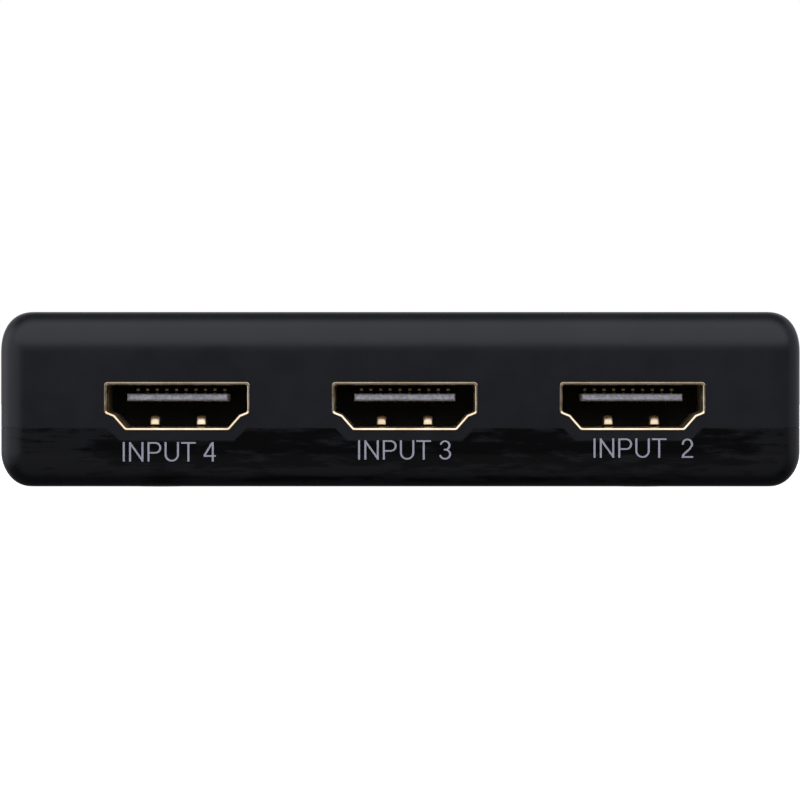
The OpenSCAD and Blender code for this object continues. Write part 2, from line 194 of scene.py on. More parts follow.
def arc(centre, radius, start, end, steps):
    """Points on an arc from start to end, in degrees."""
    angles = [math.radians(start + (end - start) * i / steps) for i in range(steps + 1)]
    return [(centre[0] + radius * math.cos(a), centre[1] + radius * math.sin(a)) for a in angles]


def circle(radius, at=(0.0, 0.0), steps=64):
    return arc(at, radius, 0, 360, steps)[:-1]


def oval(centre, radii, angles):
    """Points on an ellipse at angles in degrees."""
    turns = [math.radians(a) for a in angles]
    return [(centre[0] + radii[0] * math.cos(a), centre[1] + radii[1] * math.sin(a)) for a in turns]


def rectangle(low, high):
    return [(low[0], low[1]), (high[0], low[1]), (high[0], high[1]), (low[0], high[1])]


def grown(outline, distance):
    """A clockwise outline with each edge moved outwards by distance."""
    moved = []
    for i, here in enumerate(outline):
        q = Vector(here)
        a = (q - Vector(outline[i - 1])).normalized()
        b = (Vector(outline[(i + 1) % len(outline)]) - q).normalized()
        n, m = Vector((-a.y, a.x)), Vector((-b.y, b.x))
        moved.append(tuple(q + distance * (n + m) / (1 + n.dot(m))))
    return moved


def corner(before, here, after, radius, steps):
    """The corner at here as an arc between the edges to its neighbours."""
    q = Vector(here)
    u = (Vector(before) - q).normalized()
    v = (Vector(after) - q).normalized()
    half = u.angle(v) / 2
    centre = q + (u + v).normalized() * radius / math.sin(half)
    start = q + u * radius / math.tan(half) - centre
    end = q + v * radius / math.tan(half) - centre
    return [tuple(centre + radius * start.lerp(end, k / steps).normalized()) for k in range(steps + 1)]


def rounded(outline, radius, steps=6):
    """An outline with every corner turned into an arc."""
    points = []
    for i, here in enumerate(outline):
        points += corner(outline[i - 1], here, outline[(i + 1) % len(outline)], radius, steps)
    return points


def eased(path, radius):
    """An open path with each bend turned into an arc."""
    points = [path[0]]
    for before, here, after in zip(path, path[1:], path[2:]):
        points += corner(before, here, after, radius, 5)
    return [*points, path[-1]]


def smooth_path(points, steps=6):
    """A Catmull-Rom curve through the points."""
    path = [Vector(p) for p in (points[0], *points, points[-1])]
    curve = []
    for p0, p1, p2, p3 in zip(path, path[1:], path[2:], path[3:]):
        for k in range(steps):
            t = k / steps
            curve.append(
                0.5
                * (
                    2 * p1
                    + (p2 - p0) * t
                    + (2 * p0 - 5 * p1 + 4 * p2 - p3) * t**2
                    + (3 * p1 - p0 - 3 * p2 + p3) * t**3
                )
            )
    return [*curve, path[-1]]


# ---- Solids ----

AXES = {
    "x": lambda u, v, w: (w, u, v),
    "y": lambda u, v, w: (u, w, v),
    "z": lambda u, v, w: (u, v, w),
}


def solid(name, points, faces):
    mesh = bpy.data.meshes.new(name)
    mesh.from_pydata([tuple(p) for p in points], [], faces)
    bm = bmesh.new()
    bm.from_mesh(mesh)
    bmesh.ops.remove_doubles(bm, verts=bm.verts, dist=1e-5)
    bmesh.ops.recalc_face_normals(bm, faces=bm.faces)
    bm.to_mesh(mesh)
    bm.free()
    made = bpy.data.objects.new(name, mesh)
    bpy.context.collection.objects.link(made)
    return made


def loft(name, rings, closed=False):
    """Skins rings of equal length. A closed loft joins the last ring to the first, and has no caps."""
    n, m = len(rings[0]), len(rings)
    faces = []
    for k in range(m if closed else m - 1):
        here, there = k * n, (k + 1) % m * n
        for i in range(n):
            j = (i + 1) % n
            faces.append((here + i, here + j, there + j, there + i))
    if not closed:
        faces.append(tuple(range(n)))
        faces.append(tuple(range((m - 1) * n, m * n)))
    return solid(name, [p for ring in rings for p in ring], faces)


def prism(outline, low, high, axis="z", name="prism"):
    place = AXES[axis]
    return loft(name, [[place(u, v, w) for u, v in outline] for w in (low, high)])


def turned(name, profile, at, steps=64):
    """A profile of (radius, height) points turned round the vertical axis through at."""
    rings = []
    for radius, z in profile:
        rings.append([(x, y, z) for x, y in circle(max(radius, 1e-6), (at[0], at[1]), steps)])
    return loft(name, rings)


def bake(target):
    """Turns the modifiers into mesh."""
    bpy.context.view_layer.update()
    graph = bpy.context.evaluated_depsgraph_get()
    mesh = bpy.data.meshes.new_from_object(target.evaluated_get(graph), depsgraph=graph)
    old = target.data
    target.modifiers.clear()
    target.data = mesh
    bpy.data.meshes.remove(old)
    return target


def joined(tools):
    """One object that holds several disjoint solids."""
    bm = bmesh.new()
    for tool in tools:
        bm.from_mesh(tool.data)
    bm.to_mesh(tools[0].data)
    bm.free()
    for tool in tools[1:]:
        bpy.data.objects.remove(tool)
    return tools[0]


def boolean(target, operation, tools):
    tool = joined(list(tools))
    modifier = target.modifiers.new(operation, "BOOLEAN")
    modifier.operation = operation
    modifier.solver = "EXACT"
    modifier.object = tool
    bake(target)
    bpy.data.objects.remove(tool)
    return target


def cut(target, *tools):
    return boolean(target, "DIFFERENCE", tools)


def add(target, *tools):
    return boolean(target, "UNION", tools)


def soften(target, width, segments=3, share=None):
    """Merges flat faces, then rounds every edge sharper than 35 degrees.

    share(middle of an edge) scales that edge's width.
    """
    bm = bmesh.new()
    bm.from_mesh(target.data)
    bmesh.ops.remove_doubles(bm, verts=bm.verts, dist=1e-4)
    bmesh.ops.dissolve_limit(bm, angle_limit=math.radians(0.3), verts=bm.verts, edges=bm.edges)
    weight = bm.edges.layers.float.new("bevel_weight_edge")
    for edge in bm.edges:
        if edge.is_manifold and edge.calc_face_angle() > math.radians(35):
            edge[weight] = share((edge.verts[0].co + edge.verts[1].co) / 2) if share else 1.0
    bm.to_mesh(target.data)
    bm.free()
    modifier = target.modifiers.new("bevel", "BEVEL")
    modifier.width = width
    modifier.segments = segments
    modifier.limit_method = "WEIGHT"
    modifier.miter_outer = "MITER_ARC"
    return bake(target)


def settle(target, material, body=CASE, replaces=(), sharp=40):
    """Scales a finished piece to metres, shades it, and rides it on its CAD body."""
    mesh = target.data
    mesh.transform(Matrix.Scale(MM, 4))
    mesh.polygons.foreach_set("use_smooth", [True] * len(mesh.polygons))
    mesh.set_sharp_from_angle(angle=math.radians(sharp))
    modifier = target.modifiers.new("normals", "WEIGHTED_NORMAL")
    modifier.keep_sharp = True
    modifier.weight = 80
    bake(target)
    target.data.name = target.name
    target.data.materials.clear()
    target.data.materials.append(material)
    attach(target, body)
    if replaces:
        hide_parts(*replaces)
    return target


# ---- Materials ----


def new_material(name):
    made = bpy.data.materials.new(name)
    made.use_nodes = True
    tree = made.node_tree
    return made, tree, tree.nodes["Principled BSDF"]


def noise(tree, scale, detail, stretch=(1.0, 1.0, 1.0), roughness=0.5):
    """A noise over the object's own coordinates. Scale is in cycles per metre."""
    where = tree.nodes.new("ShaderNodeTexCoord")
    mapping = tree.nodes.new("ShaderNodeMapping")
    mapping.inputs["Scale"].default_value = stretch
    texture = tree.nodes.new("ShaderNodeTexNoise")
    texture.inputs["Scale"].default_value = scale
    texture.inputs["Detail"].default_value = detail
    texture.inputs["Roughness"].default_value = roughness
    tree.links.new(where.outputs["Object"], mapping.inputs["Vector"])
    tree.links.new(mapping.outputs["Vector"], texture.inputs["Vector"])
    return texture.outputs["Fac"]


def ramp(tree, source, stops):
    """A colour ramp: stops are (position, colour)."""
    node = tree.nodes.new("ShaderNodeValToRGB")
    elements = node.color_ramp.elements
    while len(elements) < len(stops):
        elements.new(0.5)
    for element, (position, colour) in zip(elements, stops):
        element.position = position
        element.color = (*colour, 1.0)
    tree.links.new(source, node.inputs["Fac"])
    return node.outputs["Color"]


def spread(tree, source, low, high, span=(0.3, 0.7)):
    node = tree.nodes.new("ShaderNodeMapRange")
    node.inputs["From Min"].default_value = span[0]
    node.inputs["From Max"].default_value = span[1]
    node.inputs["To Min"].default_value = low
    node.inputs["To Max"].default_value = high
    tree.links.new(source, node.inputs["Value"])
    return node.outputs["Result"]


def step(tree, source, start, end):
    """Goes smoothly from 0 at start to 1 at end."""
    made = spread(tree, source, 0.0, 1.0, (start, end))
    made.node.interpolation_type = "SMOOTHSTEP"
    return made


def math_node(tree, operation, a, b):
    node = tree.nodes.new("ShaderNodeMath")
    node.operation = operation
    for socket, value in zip(node.inputs, (a, b)):
        if isinstance(value, (int, float)):
            socket.default_value = value
        else:
            tree.links.new(value, socket)
    return node.outputs["Value"]


def bump(tree, shader, layers):
    """Stacks bumps: each layer is (height source, depth in metres)."""
    normal = None
    for source, depth in layers:
        node = tree.nodes.new("ShaderNodeBump")
        node.inputs["Distance"].default_value = depth
        node.inputs["Strength"].default_value = 1.0
        tree.links.new(source, node.inputs["Height"])
        if normal is not None:
            tree.links.new(normal, node.inputs["Normal"])
        normal = node.outputs["Normal"]
    tree.links.new(normal, shader.inputs["Normal"])


def shaded(colour, factor):
    return tuple(min(1.0, c * factor) for c in colour)


def moulded(name, colour, roughness, vary=0.25, mottle=260, grain=5200, depth=2e-6, specular=0.5):
    """Moulded plastic: faint cloudiness, uneven gloss and a fine spark-eroded grain."""
    made, tree, shader = new_material(name)
    cloud = noise(tree, mottle, 5)
    colours = ramp(tree, cloud, [(0.3, shaded(colour, 1 - vary)), (0.7, shaded(colour, 1 + vary))])
    tree.links.new(colours, shader.inputs["Base Color"])
    gloss = spread(tree, noise(tree, mottle * 3.1, 6), roughness * 0.88, roughness * 1.12)
    tree.links.new(gloss, shader.inputs["Roughness"])
    shader.inputs["Specular IOR Level"].default_value = specular
    bump(tree, shader, [(noise(tree, grain, 3), depth), (noise(tree, mottle * 2, 2), depth * 4)])
    return made


# The lower cover's painted shade: dark level streaks where its face reflects the dark front. The band's
# heights above the bottom, the ends and the shift are in millimetres; the rest are parts of the noise that
# draws them
SHADE_BAND = (1.8, 2.7, 5.3, 6.1)
SHADE_ENDS = (35.5, 30.5)
SHADE_SHIFT = 2.5
SHADE_CENTRE = 0.07
SHADE_INSIDE = 0.13
SHADE_RAMP = (0.54, 0.61, 0.665)


def streaked(name, colours, roughness, specular, band):
    """Black plastic with dark level streaks of painted shade, most of them in a band of heights away from
    the ends.
    """
    made, tree, shader = new_material(name)
    where = tree.nodes.new("ShaderNodeTexCoord")
    split = tree.nodes.new("ShaderNodeSeparateXYZ")
    tree.links.new(where.outputs["Object"], split.inputs["Vector"])
    marks = noise(tree, 560, 5, stretch=(0.42, 1.0, 2.4), roughness=0.6)
    # Mask for the painted shade: strongest in a band of heights across the face, fading towards the ends
    off = math_node(tree, "SUBTRACT", split.outputs["X"], SHADE_SHIFT * MM)
    out = math_node(tree, "ABSOLUTE", off, 0.0)
    off_ends = step(tree, out, *[x * MM for x in SHADE_ENDS])
    low = step(tree, split.outputs["Z"], band[0], band[1])
    high = step(tree, split.outputs["Z"], band[3], band[2])
    inside = math_node(tree, "MULTIPLY", math_node(tree, "MULTIPLY", low, high), SHADE_INSIDE)
    more = math_node(tree, "MULTIPLY", math_node(tree, "ADD", inside, SHADE_CENTRE), off_ends)
    amount = math_node(tree, "ADD", marks, more)
    # Painted shade: the base colour darkens where the streak noise and the mid-face band are high
    shades = ramp(tree, amount, list(zip(SHADE_RAMP, colours)))
    tree.links.new(shades, shader.inputs["Base Color"])
    gloss = spread(tree, amount, roughness * 1.12, roughness * 0.92, (0.4, 0.6))
    tree.links.new(gloss, shader.inputs["Roughness"])
    shader.inputs["Specular IOR Level"].default_value = specular
    bump(tree, shader, [(noise(tree, 5200, 3), 2e-6), (marks, 5e-6)])
    return made


def metal(name, colour, roughness, scratch=(1.0, 1.0, 1.0), tint=None):
    """Plated metal: uneven plating, and rubbed marks along the stretch."""
    made, tree, shader = new_material(name)
    cloud = noise(tree, 500, 5)
    colours = ramp(tree, cloud, [(0.32, tint or shaded(colour, 0.76)), (0.62, colour)])
    tree.links.new(colours, shader.inputs["Base Color"])
    marks = noise(tree, 2000, 6, stretch=scratch)
    tree.links.new(spread(tree, marks, roughness * 0.7, roughness * 1.4), shader.inputs["Roughness"])
    shader.inputs["Metallic"].default_value = 1.0
    bump(tree, shader, [(marks, 1e-6)])
    return made


def socket_gold(name, colour, tint, roughness):
    """Gold flash on a stamped shell: polished and slightly wavy at the mouth, and duller inside."""
    made, tree, shader = new_material(name)
    colours = ramp(tree, noise(tree, 500, 5), [(0.32, tint), (0.62, colour)])
    tree.links.new(colours, shader.inputs["Base Color"])
    where = tree.nodes.new("ShaderNodeTexCoord")
    split = tree.nodes.new("ShaderNodeSeparateXYZ")
    tree.links.new(where.outputs["Object"], split.inputs["Vector"])
    out = math_node(tree, "ABSOLUTE", split.outputs["Y"], 0.0)
    dull = step(tree, out, (HALF_D - RIM_DEPTH[0]) * MM, (HALF_D - RIM_DEPTH[1]) * MM)
    marks = spread(tree, noise(tree, 2000, 6), -0.06, 0.06)
    finish = spread(tree, dull, *roughness, (0.0, 1.0))
    tree.links.new(math_node(tree, "ADD", finish, marks), shader.inputs["Roughness"])
    shader.inputs["Metallic"].default_value = 1.0
    bump(tree, shader, [(noise(tree, 2000, 6), 1e-6), (noise(tree, 1100, 3), 1.5e-5)])
    return made


def clear_plastic(name, colour, roughness):
    """Milky light-pipe plastic: light scatters just under its skin."""
    made, tree, shader = new_material(name)
    colours = ramp(tree, noise(tree, 700, 3), [(0.35, shaded(colour, 0.93)), (0.65, colour)])
    tree.links.new(colours, shader.inputs["Base Color"])
    gloss = spread(tree, noise(tree, 2400, 4), roughness * 0.8, roughness * 1.3)
    tree.links.new(gloss, shader.inputs["Roughness"])
    shader.inputs["Subsurface Weight"].default_value = 0.6
    shader.inputs["Subsurface Radius"].default_value = (1.0, 1.0, 1.0)
    shader.inputs["Subsurface Scale"].default_value = 0.0008
    shader.inputs["Coat Weight"].default_value = 0.5
    shader.inputs["Coat Roughness"].default_value = 0.08
    bump(tree, shader, [(noise(tree, 3000, 3), 1e-6)])
    return made


def ink(name, colour):
    """Screen-printed ink: thin, slightly speckled, with the plastic showing through where it is thin."""
    made, tree, shader = new_material(name)
    cover = noise(tree, 3800, 5)
    colours = ramp(tree, cover, [(0.25, shaded(colour, 0.72)), (0.45, colour)])
    tree.links.new(colours, shader.inputs["Base Color"])
    tree.links.new(spread(tree, cover, 0.62, 0.48), shader.inputs["Roughness"])
    shader.inputs["Specular IOR Level"].default_value = 0.3
    bump(tree, shader, [(cover, 4e-6)])
    return made


def solder_mask(name, mask, under):
    """Circuit board: green mask over a faint mesh of copper tracks."""
    made, tree, shader = new_material(name)
    where = tree.nodes.new("ShaderNodeTexCoord")
    bricks = tree.nodes.new("ShaderNodeTexBrick")
    bricks.inputs["Scale"].default_value = 420
    bricks.inputs["Mortar Size"].default_value = 0.035
    bricks.inputs["Color1"].default_value = (*mask, 1)
    bricks.inputs["Color2"].default_value = (*shaded(mask, 0.85), 1)
    bricks.inputs["Mortar"].default_value = (*under, 1)
    tree.links.new(where.outputs["Object"], bricks.inputs["Vector"])
    tree.links.new(bricks.outputs["Color"], shader.inputs["Base Color"])
    tree.links.new(spread(tree, noise(tree, 900, 4), 0.25, 0.4), shader.inputs["Roughness"])
    bump(tree, shader, [(bricks.outputs["Fac"], 1.5e-5)])
    return made


UPPER = moulded("upper_plastic", (0.0136, 0.0141, 0.0160), 0.24, vary=0.12, mottle=150, specular=0.26)
LOWER = streaked(
    "lower_plastic",
    [(0.0080, 0.0082, 0.0092), (0.0036, 0.0037, 0.0043), (0.0005, 0.0005, 0.0006)],
    0.22,
    0.25,
    [(BOTTOM_Z + h) * MM for h in SHADE_BAND],
)
BUTTON = moulded("button_plastic", (0.008, 0.0083, 0.0096), 0.26, vary=0.12, depth=1.2e-6, specular=0.32)
GOLD = socket_gold("gold_plate", (0.86, 0.73, 0.52), (0.70, 0.54, 0.32), (0.22, 0.38))
CONTACT = metal("contact_gold", (0.95, 0.83, 0.5), 0.3, tint=(0.85, 0.7, 0.38))
SOCKET = moulded("socket_plastic", (0.0022, 0.0021, 0.0016), 0.5, specular=0.1)
TONGUE = moulded("tongue_plastic", (0.40, 0.395, 0.42), 0.4, vary=0.34, mottle=3600, specular=0.3)
TIN = metal("tin_plate", (0.5, 0.51, 0.52), 0.3)
STEEL = metal("screw_steel", (0.34, 0.34, 0.36), 0.32, scratch=(1.0, 1.0, 0.1))
RUBBER = moulded("foot_rubber", (0.013, 0.013, 0.0135), 0.8, vary=0.3, mottle=800, depth=6e-6, specular=0.18)
BOARD = solder_mask("board_laminate", (0.005, 0.042, 0.019), (0.012, 0.07, 0.03))
CHIP = moulded("chip_plastic", (0.012, 0.012, 0.0126), 0.6, grain=7000, depth=4e-6, specular=0.3)
CAN = metal("capacitor_can", (0.52, 0.52, 0.54), 0.28, scratch=(0.2, 0.2, 1.0))
CERAMIC = moulded("capacitor_ceramic", (0.22, 0.15, 0.09), 0.45, mottle=1500, specular=0.3)
LED = clear_plastic("led_plastic", (0.5, 0.49, 0.43), 0.3)
CLEAR = clear_plastic("clear_plastic", (0.48, 0.5, 0.53), 0.2)
INK = ink("label_ink", (0.39, 0.39, 0.45))

SLOT_MATERIALS = {
    "upper_plastic": UPPER,
    "lower_plastic": LOWER,
    "button_plastic": BUTTON,
    "gold_plate": GOLD,
    "socket_plastic": SOCKET,
    "tongue_plastic": TONGUE,
    "tin_plate": TIN,
    "screw_steel": STEEL,
    "foot_rubber": RUBBER,
    "board_laminate": BOARD,
    "chip_plastic": CHIP,
    "capacitor_can": CAN,
    "capacitor_ceramic": CERAMIC,
    "led_plastic": LED,
    "clear_plastic": CLEAR,
}


# ---- Camera and studio ----

# The camera's place and aim, in millimetres
FACE_VIEW_W = 81.45
CAMERA_BACK = 400.0
CAMERA_X = 0.4
AIM = (-0.034, -0.09)
# Where each light of the dome starts and ends, as parts of a unit direction, and how strong it is
OVERHEAD_Z = (0.03, 0.32)
OVERHEAD_Y = (0.28, -0.4)
OVERHEAD_POWER = 1.66
LEFT_X = (0.58, 0.93)
LEFT_POWER = 1.0
BACK_Y = (-0.32, 0.0)
BACK_Z = (0.8, 0.5)
BACK_POWER = 0.38
SIDE_Z = (-0.7, 0.1)
BOUNCE_Y = (0.1, -0.5)
BOUNCE_Z = (0.0, -0.2)
BOUNCE_POWER = 0.27
FILL_POWER = 0.052


def camera():
    """Level with the middle of the box, square to the port face."""
    data = bpy.data.cameras.new("camera")
    data.sensor_width = 36.0
    data.lens = data.sensor_width * CAMERA_BACK / FACE_VIEW_W
    data.clip_start = 0.01
    made = bpy.data.objects.new("camera", data)
    bpy.context.collection.objects.link(made)
    level = (TOP_Z + BOTTOM_Z) / 2
    target = Vector((AIM[0], -HALF_D, level + AIM[1])) * MM
    made.location = Vector((CAMERA_X, -HALF_D - CAMERA_BACK, level)) * MM
    made.rotation_euler = (target - made.location).to_track_quat("-Z", "Y").to_euler()
    bpy.context.scene.camera = made


def floor():
    """A pale floor that glows evenly, and that reflections and bounced light leave out."""
    material, tree, shader = new_material("floor")
    colours = ramp(tree, noise(tree, 3, 2), [(0.3, (0.86, 0.86, 0.86)), (0.7, (0.88, 0.88, 0.88))])
    tree.links.new(colours, shader.inputs["Base Color"])
    shader.inputs["Roughness"].default_value = 1.0
    shader.inputs["Specular IOR Level"].default_value = 0.0
    shader.inputs["Emission Color"].default_value = (1, 1, 1, 1)
    shader.inputs["Emission Strength"].default_value = 1.0
    made = prism(circle(6000, steps=96), -20, 0, name="floor")
    made.data.transform(Matrix.Scale(MM, 4))
    made.data.materials.append(material)
    made.visible_glossy = False
    made.visible_diffuse = False


def studio_light():
    """A soft dome: a big light overhead, one on the left, and dim ones behind and from the table."""
    world = bpy.data.worlds.new("studio")
    bpy.context.scene.world = world
    world.use_nodes = True
    tree = world.node_tree
    nodes, links = tree.nodes, tree.links
    where = nodes.new("ShaderNodeTexCoord")
    split = nodes.new("ShaderNodeSeparateXYZ")
    links.new(where.outputs["Generated"], split.inputs["Vector"])

    x, y, z = split.outputs["X"], split.outputs["Y"], split.outputs["Z"]
    above_table = step(tree, z, *SIDE_Z)
    back = math_node(tree, "MULTIPLY", step(tree, y, *BACK_Y), step(tree, z, *BACK_Z))
    overhead = math_node(tree, "MULTIPLY", step(tree, z, *OVERHEAD_Z), step(tree, y, *OVERHEAD_Y))
    left = math_node(tree, "MULTIPLY", step(tree, x, -LEFT_X[0], -LEFT_X[1]), above_table)
    behind = math_node(tree, "MULTIPLY", back, above_table)
    bounce = math_node(tree, "MULTIPLY", step(tree, z, *BOUNCE_Z), step(tree, y, *BOUNCE_Y))
    lights = [
        (overhead, OVERHEAD_POWER),
        (left, LEFT_POWER),
        (behind, BACK_POWER),
        (bounce, BOUNCE_POWER),
    ]
    total = FILL_POWER
    for shape, power in lights:
        total = math_node(tree, "MAXIMUM", total, math_node(tree, "MULTIPLY", shape, power))
    light = nodes["Background"]
    light.inputs["Color"].default_value = (0.94, 0.95, 1.04, 1)
    links.new(total, light.inputs["Strength"])
    backdrop = nodes.new("ShaderNodeBackground")
    backdrop.inputs["Color"].default_value = (1, 1, 1, 1)
    rays = nodes.new("ShaderNodeLightPath")
    mix = nodes.new("ShaderNodeMixShader")
    links.new(rays.outputs["Is Camera Ray"], mix.inputs["Fac"])
    links.new(light.outputs["Background"], mix.inputs[1])
    links.new(backdrop.outputs["Background"], mix.inputs[2])
    links.new(mix.outputs["Shader"], nodes["World Output"].inputs["Surface"])


# ---- Covers ----


def plan_ring(inset, z):
    """The body's outline in plan, set in by inset, as a ring at height z."""
    radius = PLAN_R - inset
    ring = []
    for quarter, (sx, sy) in enumerate([(1, 1), (-1, 1), (-1, -1), (1, -1)]):
        centre = (sx * (HALF_W - PLAN_R), sy * (HALF_D - PLAN_R))
        ring += [(x, y, z) for x, y in arc(centre, radius, 90 * quarter, 90 * quarter + 90, ROUND_STEPS)]
    return ring


def quarter_turn(steps=7):
    return [math.pi / 2 * i / steps for i in range(steps + 1)]


def plan_prism(inset, low, high):
    return loft("plan", [plan_ring(inset, low), plan_ring(inset, high)])


def quarter_levels(width, height, power):
    """Inset and drop along a quarter superellipse, from the vertical wall to the flat face."""
    angles = quarter_turn(ROUND_STEPS)
    bend = 2 / power
    return [(width * (1 - abs(math.cos(a)) ** bend), height * (1 - math.sin(a) ** bend)) for a in angles]


def port_place(port):
    """Where a port's mouth is, and which way it faces (-1 front, 1 rear)."""
    low, high = cad(port + "_shell")
    side = -1 if high.y < 0 else 1
    return Vector(((low.x + high.x) / 2, low.y if side < 0 else high.y, BOARD_Z)), side


def to_port(target, port):
    """Moves a shape made with its mouth at y = 0, opening towards -Y, to a port."""
    place, side = port_place(port)
    turn = Matrix.Rotation(math.pi if side > 0 else 0, 4, "Z")
    target.data.transform(Matrix.Translation(place) @ turn)
    return target


def port_outline():
    """Outside of a port's shell, clockwise from the top left."""
    half = PORT_W / 2
    right = [(half, PORT_TOP), (half, PORT_SHOULDER), (half - 0.9, PORT_LEDGE), (half - 2.1, PORT_BASE)]
    left = [(-u, v) for u, v in reversed(right)]
    return [left[-1], *right, *left[:-1]]


def port_hole(port):
    return to_port(prism(rounded(grown(port_outline(), PORT_GAP), 0.25), -1, WALL + 1, "y"), port)


def apron_outline(x, grow=0.0):
    top, low = APRON_HALF[0] + grow, APRON_HALF[1] + grow * 0.6
    bottom = APRON_Z - grow
    return [(x - top, SEAM_Z), (x + top, SEAM_Z), (x + low, bottom), (x - low, bottom)]


def below_seam():
    """What is cut from the top cover below the seam at the front: everything but the aprons."""
    reach = HALF_W + PAST
    outline = [(-reach, SEAM_Z - DEEP), (-reach, SEAM_Z)]
    for port in reversed(FRONT_PORTS):
        corners = apron_outline(port_place(port)[0].x)
        outline += [corners[0], corners[3], corners[2], corners[1]]
    outline += [(reach, SEAM_Z), (reach, SEAM_Z - DEEP)]
    return prism(outline, -HALF_D - PAST, WALL + 0.1 - HALF_D, "y")


def cradle_outline(port, grow):
    x = port_place(port)[0].x
    return [(x - CRADLE_HALF - grow, CRADLE_Z + grow), (x + CRADLE_HALF + grow, CRADLE_Z + grow)]


def above_seam(seam):
    """What is cut from the bottom cover above the seam at the rear: everything but the cradles."""
    reach = HALF_W + PAST
    outline = [(-reach, seam + DEEP), (-reach, seam)]
    for port in reversed(REAR_PORTS):
        (x0, z0), (x1, z1) = cradle_outline(port, 0)
        outline += [(x0, seam), (x0, z0), (x1, z1), (x1, seam)]
    outline += [(reach, seam), (reach, seam + DEEP)]
    return prism(outline, HALF_D - WALL, HALF_D + PAST, "y")


def lip_ring(outer, inner, low, high):
    """The seam's lip, open where the ports come through."""
    ring = cut(plan_prism(outer, low, high), plan_prism(inner, low - 1, high + 1))
    spans = []
    for side in (-1, 1):
        for port in reversed(FRONT_PORTS):
            x = port_place(port)[0].x
            half = PORT_W / 2 + LIP_OPEN
            low_corner = (x - half, side * HALF_D - 3)
            spans.append(prism(rectangle(low_corner, (x + half, side * HALF_D + 3)), low - 1, high + 1))
    return cut(ring, *spans)


def on_wall(mid):
    return abs(mid.y) > HALF_D - WALL / 2 or abs(mid.x) > HALF_W - WALL / 2


def crisp_wall(mid):
    return CRISP_SHARE if on_wall(mid) else 1.0


def round_wall(mid):
    return ROUND_SHARE if on_wall(mid) and mid.z > SEAM_Z - WALL else 1.0


def top_cover():
    levels = [(inset, TOP_Z - drop) for inset, drop in quarter_levels(*TOP_ROUND)]
    rings = [plan_ring(0, APRON_Z - 0.01), *[plan_ring(inset, z) for inset, z in levels]]
    cover = loft("top_cover_shell", rings)
    reach = (HALF_W + PAST, HALF_D + PAST)
    cut(cover, prism(rectangle((-reach[0], WALL - HALF_D), reach), APRON_Z - PAST, SEAM_Z))
    cut(cover, below_seam())
    cut(cover, plan_prism(WALL, APRON_Z - PAST, ROOF_Z))
    cut(cover, lip_ring(WALL / 2 - 0.05, WALL + 0.1, SEAM_Z - 0.5, SEAM_Z + 1.1))
    bosses = [
        prism(circle(BOSS_R, (sx * SCREW_AT[0], sy * SCREW_AT[1])), BOARD_Z, ROOF_Z + SINK)
        for sx, sy in FOUR_CORNERS
    ]
    well = prism(circle(WELL_R[1], BUTTON_AT.xy, 96), BOARD_Z + 0.1, ROOF_Z + SINK)
    pegs = [prism(circle(0.7, (x, LIGHT_Y), 24), ROOF_Z - 2.4, ROOF_Z + SINK) for x in PEG_X]
    add(cover, well, *bosses, *pegs)
    cut(cover, prism(circle(WELL_R[0], BUTTON_AT.xy, 96), BOARD_Z - 1, ROOF_Z))
    screw_holes = [
        prism(circle(SCREW_R - 0.2, (sx * SCREW_AT[0], sy * SCREW_AT[1]), 24), BOARD_Z - 1, BOARD_Z + 7)
        for sx, sy in FOUR_CORNERS
    ]
    light_holes = [prism(circle(ROD_R + 0.05, (x, LIGHT_Y), 32), ROOF_Z - 1, TOP_Z + 1) for x in LIGHT_X]
    key_hole = prism(circle(CAP_R + 0.15, BUTTON_AT.xy, 96), ROOF_Z - 1, TOP_Z + 1)
    jack_hole = prism(circle(JACK_HOLE_R, (JACK_AT.x, JACK_AT.z), 64), HALF_D - WALL - 1, HALF_D + 1, "y")
    cut(cover, key_hole, jack_hole, *screw_holes, *light_holes)
    cut(cover, *[port_hole(port) for port in PORTS])
    cradles = [cradle_outline(port, CRADLE_GAP) for port in REAR_PORTS]
    cut(cover, *[
        prism(rectangle((a[0], SEAM_Z - 2), (b[0], b[1])), HALF_D - WALL - 1, HALF_D + 1, "y")
        for a, b in cradles
    ])
    soften(cover, EDGE_W, share=crisp_wall)
    settle(cover, UPPER, replaces=("top_cover",))


